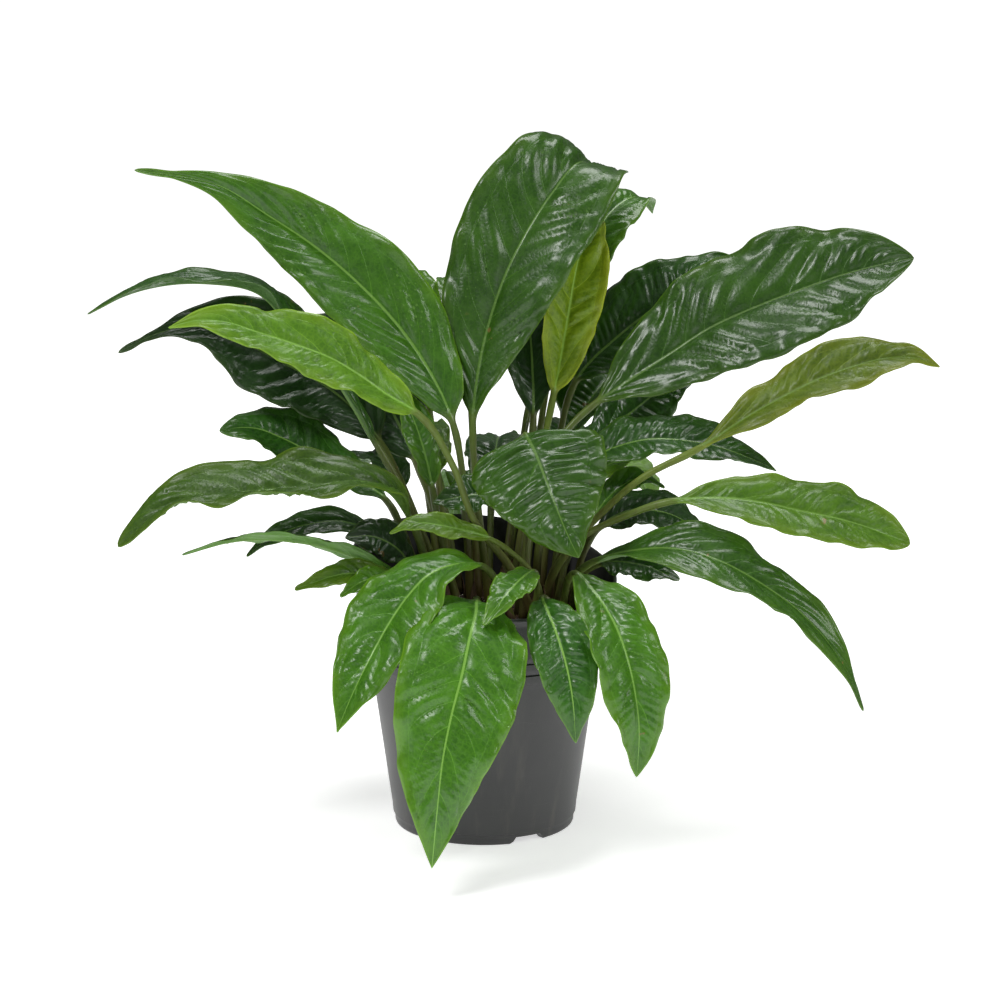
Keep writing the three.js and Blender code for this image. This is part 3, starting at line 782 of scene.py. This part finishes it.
def leaf_grid(node, s, seed):
    """Rows of points round a leaf from its foot to its tip, with the numbers its finish reads."""
    foot, rings, tip = leaf_rings(node)
    rng = np.random.default_rng(seed)
    up = unit(rings[:, 2] - rings[:, 6])
    centre = rings[:, 2] - HALF_BLADE * up
    centre[:STALK_RINGS] = rings[:STALK_RINGS].mean(1)
    left = rings[:, 0] - centre
    right = rings[:, 4] - centre
    width = (np.linalg.norm(left, axis=1) + np.linalg.norm(right, axis=1)) / 2
    mid_left = (rings[:, 1] + rings[:, 7]) / 2 - centre
    mid_right = (rings[:, 3] + rings[:, 5]) / 2 - centre
    mid_left[:STALK_RINGS] = 0.52 * left[:STALK_RINGS]
    mid_right[:STALK_RINGS] = 0.52 * right[:STALK_RINGS]
    line = np.vstack([foot, centre, tip])
    knots = np.concatenate([[0], np.cumsum(np.linalg.norm(np.diff(line, axis=0), axis=1))])
    shapes = [v / width[:, None] for v in (left, mid_left, mid_right, right)]
    shapes = [np.vstack([v[:1], v, v[-1:]]) for v in shapes]
    ups = np.vstack([up[:1], up, up[-1:]])
    power = float(np.clip(math.log(width[-1] / width[-2]) / math.log(0.35), 0.5, 1.6))
    widths = np.concatenate([width[:1], width, [0.0]])
    start, end = knots[STALK_RINGS], knots[-1]
    length = end - start

    stalk_at = np.linspace(knots[1], start, s.stalk_rows, endpoint=False)
    x = np.linspace(0, 1, s.rows)
    u = 0.45 * x + 0.55 * (1 - np.cos(math.pi * x)) / 2
    u = u * 0.994
    at = np.concatenate([stalk_at, start + u * length])
    run = np.concatenate([(stalk_at - start) / max(start, 1e-6), u])
    u_all = np.clip(run, 0, 1)

    middle = smooth_curve(knots, line, at)
    wide = np.maximum(smooth_curve(knots, widths ** (1 / power), at), 1e-9) ** power
    left_edge, left_mid, right_mid, right_edge = [smooth_curve(knots, v, at) for v in shapes]
    up_at = unit(smooth_curve(knots, ups, at))
    side = unit(right_edge - left_edge)
    up_at = unit(up_at - side * np.sum(side * up_at, axis=1, keepdims=True))

    share = np.linspace(-1, 1, 2 * s.half + 1)
    share = np.sign(share) * np.abs(share) ** 1.45
    # Half a blade is a parabola from the midrib through its middle, at half_way, to its edge.
    half_way = 0.52
    a = np.abs(share)[None, :, None]
    is_right = (share > 0)[None, :, None]
    edge = np.where(is_right, right_edge[:, None], left_edge[:, None])
    between = np.where(is_right, right_mid[:, None], left_mid[:, None])
    through_middle = between * a * (1 - a) / (half_way * (1 - half_way))
    through_edge = edge * a * (a - half_way) / (1 - half_way)
    sheet = middle[:, None] + wide[:, None, None] * (through_middle + through_edge)

    across = np.gradient(sheet, axis=1)
    along = np.gradient(sheet, axis=0)
    normal = unit(np.cross(across, along))
    flip = np.sign(np.sum(normal * up_at[:, None], axis=2, keepdims=True))
    normal = normal * np.where(flip == 0, 1, flip)

    reach = np.abs(share)[None, :]
    veins = max(6.0, length / s.vein_gap)
    u_row = u_all[:, None]
    tau = 2 * math.pi
    right_half = (share > 0).astype(int)
    phase = veins * (u_row - s.vein_lean * reach**1.25)
    phase = phase + np.where(share > 0, 0.47, 0.0)[None, :]
    phase = phase + 0.30 * np.sin(tau * (u_row * 2.3 + rng.uniform()))
    strong = 0.62 + 0.38 * np.sin(tau * (u_row * 3.1 + rng.uniform(size=2)[right_half][None, :]))
    swell = 1 - (2 * (phase % 1.0) - 1) ** 2
    broad = np.clip(wide / 0.024, 0, 1.7)[:, None]
    on_blade = ease(0.0, 0.07, u_all)[:, None]
    quilt = s.quilt * broad * on_blade * strong * (swell - 0.5)
    quilt = quilt * ease(0.03, 0.22, reach) * (1 - 0.75 * ease(0.8, 1, reach))
    # Small wrinkles cross the cushions, strongest near the midrib.
    wrinkle_gap = 0.0068
    beats = length / wrinkle_gap
    wrinkle = np.sin(tau * (beats * (u_row - 0.4 * s.vein_lean * reach) + rng.uniform()))
    patches = 0.6 + 0.4 * np.sin(17 * u_row + 5 * share[None, :] + rng.uniform(0, 6))
    wrinkle = wrinkle * np.minimum(broad, 1.0) ** 1.5 * patches
    spread = ease(0.02, 0.15, reach) * (1 - ease(0.55, 0.95, reach))
    quilt = quilt + s.pucker * broad * on_blade * wrinkle * spread
    # The blade dips along the inner line and lifts again to the margin.
    quilt = quilt - 0.0010 * broad * on_blade * np.exp(-(((reach - s.inner_line) / 0.055) ** 2))
    slow = np.sin(tau * (1.6 * u_row + rng.uniform()) + 2.2 * share[None, :])
    quilt = quilt + 0.0022 * broad * on_blade * slow * reach * (1 - 0.4 * reach)
    folds = s.ruffle * broad * on_blade * reach**3.2
    beat = rng.uniform(6.0, 8.5)
    shift = rng.uniform(0, 6.28, 2)[right_half][None, :]
    ruffle = folds * (
        np.sin(tau * beat * u_row + shift) + 0.2 * np.sin(tau * beat * 2.17 * u_row + 2.6 * shift)
    )
    off = reach * wide[:, None]
    trough = -0.0007 * np.exp(-((off / 0.0042) ** 2)) * broad
    ridge = 0.0006 * np.exp(-((off / 0.0011) ** 2)) * (1 - 0.75 * u_row)
    base = sheet + normal * ((quilt + ruffle + trough) * on_blade)[:, :, None]

    stem = float(width[STALK_RINGS - 1])
    keel = (stem * 0.80 * (1 - u_all) ** 1.6 + 0.0004)[:, None]
    keel_shape = keel * np.exp(-((off / (0.75 * keel + 0.0004)) ** 2))
    thin = s.thickness * (0.42 + 0.58 * (1 - ease(0.72, 1.0, reach)))
    upper = base + normal * (thin / 2 + ridge)[:, :, None]
    lower = base - normal * (thin / 2 + keel_shape)[:, :, None]

    # The stalk is a round tube that flattens into the blade.
    gap = math.radians(4)
    angle = math.pi - gap - (math.pi - 2 * gap) * (share + 1) / 2
    stalk_widths = [width[:1], width[:STALK_RINGS], [stem] * (len(knots) - STALK_RINGS - 1)]
    radius = smooth_curve(knots, np.concatenate(stalk_widths), at)
    below = start - at
    radius = radius * (1 + 0.16 * np.exp(-(((below - 0.012) / 0.008) ** 2)))
    r = radius[:, None, None]
    outward = side[:, None] * np.cos(angle)[None, :, None]
    upward = up_at[:, None] * np.sin(angle)[None, :, None]
    ring_up = middle[:, None] + r * (outward + upward)
    ring_low = middle[:, None] + r * (outward - upward)
    flat = ease(0.0, 0.06, u_all)[:, None, None]
    upper = ring_up * (1 - flat) + upper * flat
    lower = ring_low * (1 - flat) + lower * flat

    loop = np.concatenate([upper, lower[:, ::-1]], axis=1)
    numbers = {
        "tone": np.full(loop.shape[:2], TONES.get(node, 1.0)),
        "run": np.repeat(run[:, None], loop.shape[1], 1),
        "off_rib": np.concatenate([off, off[:, ::-1]], 1),
        "off_edge": np.concatenate([(1 - reach) * wide[:, None]] * 2, 1),
        "under": np.concatenate([np.zeros_like(off), np.ones_like(off)], 1),
        "vein": np.concatenate([phase, phase[:, ::-1]], 1),
        "reach": np.concatenate([np.repeat(reach, len(at), 0)] * 2, 1),
    }
    return foot, loop, tip, numbers


def leaf_finish(name, green, s, gloss, coat):
    """Waxy blade with pale veins, a lighter margin and a duller underside, on an olive stalk."""
    f = Finish(name)
    place = f.place()
    run = f.number("run")
    off_rib = f.number("off_rib")
    off_edge = f.number("off_edge")
    under = f.number("under")
    vein = f.number("vein")
    green = np.array(green)
    cloud = f.noise(place, 22.0, 3.0)
    mottle = f.noise(place, 130.0, 4.0, 0.6)
    mesh_scale = 230.0
    net = f.cells(place, mesh_scale)

    blade = f.mix(f.band(cloud, 0.30, 0.72), tint(green, 0.78), tint(green, (1.42, 1.22, 1.25)))
    shade = f.noise(place, 48.0, 2.0, 0.5)
    blade = f.mix(f.band(shade, 0.42, 0.66, 0.0, 0.55), blade, tint(green, (0.55, 0.62, 0.8)))
    blade = f.mix(f.band(mottle, 0.35, 0.75, 0.0, 0.40), blade, tint(green, (1.9, 1.45, 1.4)))
    # Side veins: a thin pale line with a slightly lighter band beside it.
    wrap = f.math("ABSOLUTE", f.math("SUBTRACT", f.math("FRACT", vein), 0.5))
    reach_in = f.number("reach")
    inside = f.band(reach_in, s.inner_line - 0.02, s.inner_line + 0.05, 1.0, 0.25)
    side_line = f.math("MULTIPLY", f.band(wrap, 0.462, 0.494), inside)
    off_line = f.math("ABSOLUTE", f.math("SUBTRACT", reach_in, s.inner_line))
    inner = f.math("MULTIPLY", f.band(off_line, 0.004, 0.022, 0.7, 0.0), f.band(off_edge, 0.003, 0.006))
    line = f.math("MAXIMUM", side_line, inner)
    fade = f.band(off_rib, 0.0, 0.035, 0.62, 0.30)
    pale_green = tint(green, (2.6, 1.95, 2.2), (0.012, 0.022, 0.003))
    blade = f.mix(f.math("MULTIPLY", line, fade), blade, pale_green)
    halo = f.band(wrap, 0.22, 0.48, 0.0, 0.22)
    blade = f.mix(halo, blade, tint(green, (1.55, 1.35, 1.4)))
    mesh_line = f.band(net, 0.0, 0.0010 * mesh_scale, 0.16, 0.0)
    blade = f.mix(mesh_line, blade, pale_green)
    # Margin: a narrow yellow-green rim.
    flush = f.math("MULTIPLY", f.band(off_edge, 0.001, 0.013, 0.55, 0.0), f.band(cloud, 0.38, 0.62, 0.35, 1.0))
    blade = f.mix(flush, blade, tint(green, (2.6, 1.55, 1.0)))
    rim = f.band(off_edge, 0.0004, 0.0018, 0.60, 0.0)
    blade = f.mix(rim, blade, tint(green, (3.0, 2.0, 1.8), (0.03, 0.03, 0.002)))
    # Midrib: pale, and narrower towards the tip.
    reach = f.math("MULTIPLY", f.math("SUBTRACT", 1.25, run), 0.0012)
    rib = f.math("DIVIDE", off_rib, reach)
    rib_mask = f.band(rib, 0.55, 1.25, 0.92, 0.0)
    rib_colour = tint(s.vein, 0.62, green * 0.9)
    blade = f.mix(rib_mask, blade, rib_colour)
    # Underside: lighter and greyer, with the keel paler still.
    dull = tint(green, (1.75, 1.35, 1.9), (0.022, 0.030, 0.012))
    back = f.mix(f.band(mottle, 0.3, 0.8), dull, tint(dull, 1.22))
    back = f.mix(f.math("MULTIPLY", line, 0.55), back, tint(dull, 1.7))
    keel = f.band(rib, 0.8, 2.0, 0.85, 0.0)
    back = f.mix(keel, back, tint(s.vein, 0.55, green * 0.8))
    colour = f.mix(under, blade, back)
    colour = f.mix(1.0, colour, f.number("tone"), "MULTIPLY")
    # Stalk: olive with brown streaks, browner towards the foot.
    streak = f.noise(f.stretch(place, (160.0, 160.0, 16.0)), 1.0, 4.0, 0.6)
    stalk = f.mix(f.band(streak, 0.40, 0.72, 0.0, 0.7), tuple(s.stalk), tuple(s.stalk_brown))
    fresh = tint(s.stalk, 0.45, green * 0.9)
    stalk = f.mix(f.band(run, -0.9, 0.0), stalk, f.mix(0.45, stalk, fresh))
    foot = f.band(run, -1.0, -0.72, 0.75, 0.0)
    stalk = f.mix(foot, stalk, tuple(s.stalk_brown))
    stem = f.band(run, 0.005, 0.05, 1.0, 0.0)
    colour = f.mix(stem, colour, stalk)
    # A few dry specks.
    speck = f.band(f.noise(place, 75.0, 2.0, 0.4), 0.735, 0.765, 0.0, 0.8)
    colour = f.mix(f.math("MULTIPLY", speck, f.band(cloud, 0.5, 0.6)), colour, (0.20, 0.13, 0.04))

    rough = f.band(mottle, 0.25, 0.8, gloss, gloss + 0.12)
    rough = f.math("ADD", rough, f.math("MULTIPLY", under, 0.16))
    rough = f.math("ADD", rough, f.math("MULTIPLY", stem, 0.10))
    normal = f.bump(f.band(net, 0.0, 0.35), 0.16, 0.0006)
    normal = f.bump(mottle, 0.28, 0.0010, normal)
    normal = f.bump(f.math("SUBTRACT", 1.0, line), 0.35, 0.0007, normal)
    return f.surface(
        colour, rough, normal, Specular_IOR_Level=0.36, Coat_Weight=coat, Coat_Roughness=0.18,
    )


class ANTHURIUM_OT_leaves(Operator):
    """Grows every leaf along its solid: round stalk, quilted blade, keeled midrib and wavy margin"""

    bl_idname = "anthurium.leaves"
    bl_label = "Leaves"

    def execute(self, context):
        s = context.scene.anthurium_leaves
        finishes = {
            "leaf_mid": leaf_finish("leaf_mid", s.mid, s, 0.31, 0.26),
            "leaf_dark": leaf_finish("leaf_dark", s.dark, s, 0.30, 0.28),
            # Painted shade: leaf_deep carries the darker green that stands in for the shadow on the inner
            # leaves.
            "leaf_deep": leaf_finish("leaf_deep", s.painted_shade_green, s, 0.34, 0.20),
            "leaf_light": leaf_finish("leaf_light", s.light, s, 0.37, 0.12),
            "leaf_bright": leaf_finish("leaf_bright", s.bright, s, 0.40, 0.08),
        }
        for number, node in enumerate(LEAF_NODES):
            foot, loop, tip, numbers = leaf_grid(node, s, 100 + number)
            rows, round_about = loop.shape[:2]
            points = np.vstack([[foot], loop.reshape(-1, 3), [tip]])
            first = np.arange(round_about)
            after = (first + 1) % round_about
            faces = [(0, 1 + a, 1 + b) for a, b in zip(first, after)]
            for i in range(rows - 1):
                low = 1 + i * round_about
                high = low + round_about
                faces += [(low + a, high + a, high + b, low + b) for a, b in zip(first, after)]
            low = 1 + (rows - 1) * round_about
            faces += [(low + b, low + a, len(points) - 1) for a, b in zip(first, after)]
            slot = SLOT_OF[node]
            piece = new_piece("fine_" + node, points, faces, finishes[slot])
            ends = {"run": (-1.0, 1.0), "off_rib": (0.0, 0.0), "off_edge": (0.0, 0.0), "under": (0.0, 0.0)}
            for key, grid in numbers.items():
                flat = grid.reshape(-1)
                start, end = ends.get(key, (flat[0], flat[-1]))
                point_numbers(piece, key, np.concatenate([[start], flat, [end]]))
            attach(piece, "root")
            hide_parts(node)
        return {"FINISHED"}


# ---------------------------------------------------------------- sheaths


class ANTHURIUM_OT_sheaths(Operator):
    """Wraps papery brown sheaths round the feet of the stalks"""

    bl_idname = "anthurium.sheaths"
    bl_label = "Dry Sheaths"

    def execute(self, context):
        s = context.scene.anthurium_sheaths
        f = Finish("papery_sheath")
        place = f.place()
        fibre = f.noise(f.stretch(place, (420.0, 420.0, 26.0)), 1.0, 4.0, 0.65)
        patch = f.noise(place, 70.0, 3.0)
        colour = f.mix(f.band(fibre, 0.35, 0.7), tuple(s.paper), tint(s.paper, 0.45))
        colour = f.mix(f.band(patch, 0.5, 0.75, 0.0, 0.6), colour, tint(s.paper, 1.6))
        paper = f.surface(colour, f.band(fibre, 0.2, 0.8, 0.62, 0.8), f.bump(fibre, 0.5, 0.0006))
        rng = np.random.default_rng(41)
        points, faces = [], []
        steps, around = 10, 13
        for node in LEAF_NODES[::2]:
            foot, rings, _ = leaf_rings(node)
            line = np.vstack([foot, rings[:STALK_RINGS].mean(1)])
            knots = np.concatenate([[0], np.cumsum(np.linalg.norm(np.diff(line, axis=0), axis=1))])
            height = min(s.height * rng.uniform(0.6, 1.35), knots[-1] * 0.6)
            turn = rng.uniform(0, 2 * math.pi)
            start = len(points)
            for shell in (0.0, -0.0005):
                for i in range(steps + 1):
                    k = i / steps
                    middle = smooth_curve(knots, line, np.array([k * height]))[0]
                    open_by = math.pi * (0.86 - 0.80 * k**1.8)
                    grow = s.radius * (1 - 0.30 * k) + 0.0016 * max(0.0, k - 0.7) + shell
                    for j in range(around):
                        t = turn + open_by * (2 * j / (around - 1) - 1)
                        r = grow + 0.0003 * math.sin(5 * t + 7 * k)
                        points.append((middle[0] + r * math.cos(t), middle[1] + r * math.sin(t), middle[2]))
            size = (steps + 1) * around
            for i in range(steps):
                for j in range(around - 1):
                    a = start + i * around + j
                    b, c, d = a + 1, a + around + 1, a + around
                    faces.append((a, b, c, d))
                    faces.append((a + size, d + size, c + size, b + size))
            for i in range(steps):
                for j, way in ((0, 1), (around - 1, -1)):
                    a = start + i * around + j
                    d = a + around
                    faces.append((a, d, d + size, a + size)[::way])
            for j in range(around - 1):
                for i, way in ((0, -1), (steps, 1)):
                    a = start + i * around + j
                    faces.append((a, a + 1, a + 1 + size, a + size)[::-way])
        piece = new_piece("dry_sheaths", points, faces, paper)
        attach(piece, "root")
        return {"FINISHED"}


# ---------------------------------------------------------------- studio


class ANTHURIUM_OT_studio(Operator):
    """Lays the pale floor, hangs soft lights and sets the camera"""

    bl_idname = "anthurium.studio"
    bl_label = "Studio"

    def lamp(self, name, place, aim, size, power):
        light = bpy.data.lights.new(name, "AREA")
        light.shape = "DISK"
        light.size = size
        light.energy = power
        holder = bpy.data.objects.new(name, light)
        bpy.context.scene.collection.objects.link(holder)
        way = np.array(aim) - np.array(place)
        holder.location = place
        flat = math.hypot(way[0], way[1])
        holder.rotation_euler = (math.atan2(flat, -way[2]), 0.0, math.atan2(-way[0], way[1]))

    def execute(self, context):
        s = context.scene.anthurium_studio
        f = Finish("pale_floor")
        grain = f.noise(f.place(), 3.0, 2.0)
        tone = f.mix(grain, (0.93, 0.93, 0.93), (0.95, 0.95, 0.95))
        matte = f.surface(tone, 0.85, None, Specular_IOR_Level=0.0, Emission_Color=(1.0, 1.0, 1.0, 1.0))
        away = f.node("ShaderNodeVectorMath", operation="LENGTH")
        f.feed(away.inputs[0], f.place())
        # The floor gives more light by itself further away, and so fades into the background.
        glow = f.band(away.outputs["Value"], 0.15, 2.2, s.glow, 0.92)
        f.feed(f.shader.inputs["Emission Strength"], glow)
        half = s.floor / 2
        corners = [(-half, -half, 0.0), (half, -half, 0.0), (half, half, 0.0), (-half, half, 0.0)]
        floor = new_piece("studio_floor", corners, [(0, 1, 2, 3)], matte, smooth=False)
        # The camera sees a white world, which lights everything else only faintly.
        world = context.scene.world or bpy.data.worlds.new("studio")
        context.scene.world = world
        world.use_nodes = True
        air = world.node_tree
        air.nodes.clear()
        seen = air.nodes.new("ShaderNodeLightPath")
        strength = air.nodes.new("ShaderNodeMapRange")
        strength.inputs["To Min"].default_value = s.air
        strength.inputs["To Max"].default_value = 1.0
        sky = air.nodes.new("ShaderNodeBackground")
        sky.inputs["Color"].default_value = (1.0, 1.0, 1.0, 1.0)
        out = air.nodes.new("ShaderNodeOutputWorld")
        air.links.new(seen.outputs["Is Camera Ray"], strength.inputs["Value"])
        air.links.new(strength.outputs["Result"], sky.inputs["Strength"])
        air.links.new(sky.outputs["Background"], out.inputs["Surface"])
        middle = (0.0, 0.0, 0.4)
        self.lamp("key_light", (-1.3, -1.5, 2.7), middle, 0.9, 44.0)
        self.lamp("fill_light", (2.1, -1.3, 1.9), middle, 0.9, 18.0)
        self.lamp("top_light", (0.3, 0.7, 3.0), middle, 1.5, 42.0)
        camera = bpy.data.cameras.new("studio_camera")
        camera.lens = s.lens
        camera.sensor_width = 36.0
        camera.clip_end = 120.0
        holder = bpy.data.objects.new("studio_camera", camera)
        context.scene.collection.objects.link(holder)
        holder.location = (s.aside, -s.distance, s.height)
        holder.rotation_euler = (math.radians(90) - s.tilt, 0.0, 0.0)
        context.scene.camera = holder
        context.scene.view_settings.view_transform = "Standard"
        return {"FINISHED"}


# ---------------------------------------------------------------- panel and registration


class ANTHURIUM_PT_panel(Panel):
    """Lists the steps that build the plant"""

    bl_idname = "ANTHURIUM_PT_panel"
    bl_label = "Potted Anthurium"
    bl_space_type = "VIEW_3D"
    bl_region_type = "UI"
    bl_category = "Anthurium"

    def draw(self, context):
        scene = context.scene
        for step, sizes in STEPS:
            box = self.layout.box()
            box.operator(step.bl_idname)
            group = getattr(scene, sizes)
            for key in group.bl_rna.properties.keys():
                if key not in {"rna_type", "name"}:
                    box.prop(group, key)


STEPS = (
    (ANTHURIUM_OT_pot, "anthurium_pot"),
    (ANTHURIUM_OT_potting_mix, "anthurium_mix"),
    (ANTHURIUM_OT_leaves, "anthurium_leaves"),
    (ANTHURIUM_OT_sheaths, "anthurium_sheaths"),
    (ANTHURIUM_OT_studio, "anthurium_studio"),
)
GROUPS = {
    "anthurium_pot": PotSizes,
    "anthurium_mix": MixSizes,
    "anthurium_leaves": LeafSizes,
    "anthurium_sheaths": SheathSizes,
    "anthurium_studio": StudioSizes,
}


def register():
    for name, group in GROUPS.items():
        bpy.utils.register_class(group)
        setattr(bpy.types.Scene, name, PointerProperty(type=group))
    for step, _ in STEPS:
        bpy.utils.register_class(step)
    bpy.utils.register_class(ANTHURIUM_PT_panel)


def unregister():
    bpy.utils.unregister_class(ANTHURIUM_PT_panel)
    for step, _ in reversed(STEPS):
        bpy.utils.unregister_class(step)
    for name, group in GROUPS.items():
        delattr(bpy.types.Scene, name)
        bpy.utils.unregister_class(group)


def main():
    register()
    for step, _ in STEPS:
        family, action = step.bl_idname.split(".")
        getattr(getattr(bpy.ops, family), action)()


if __name__ == "__main__":
    main()
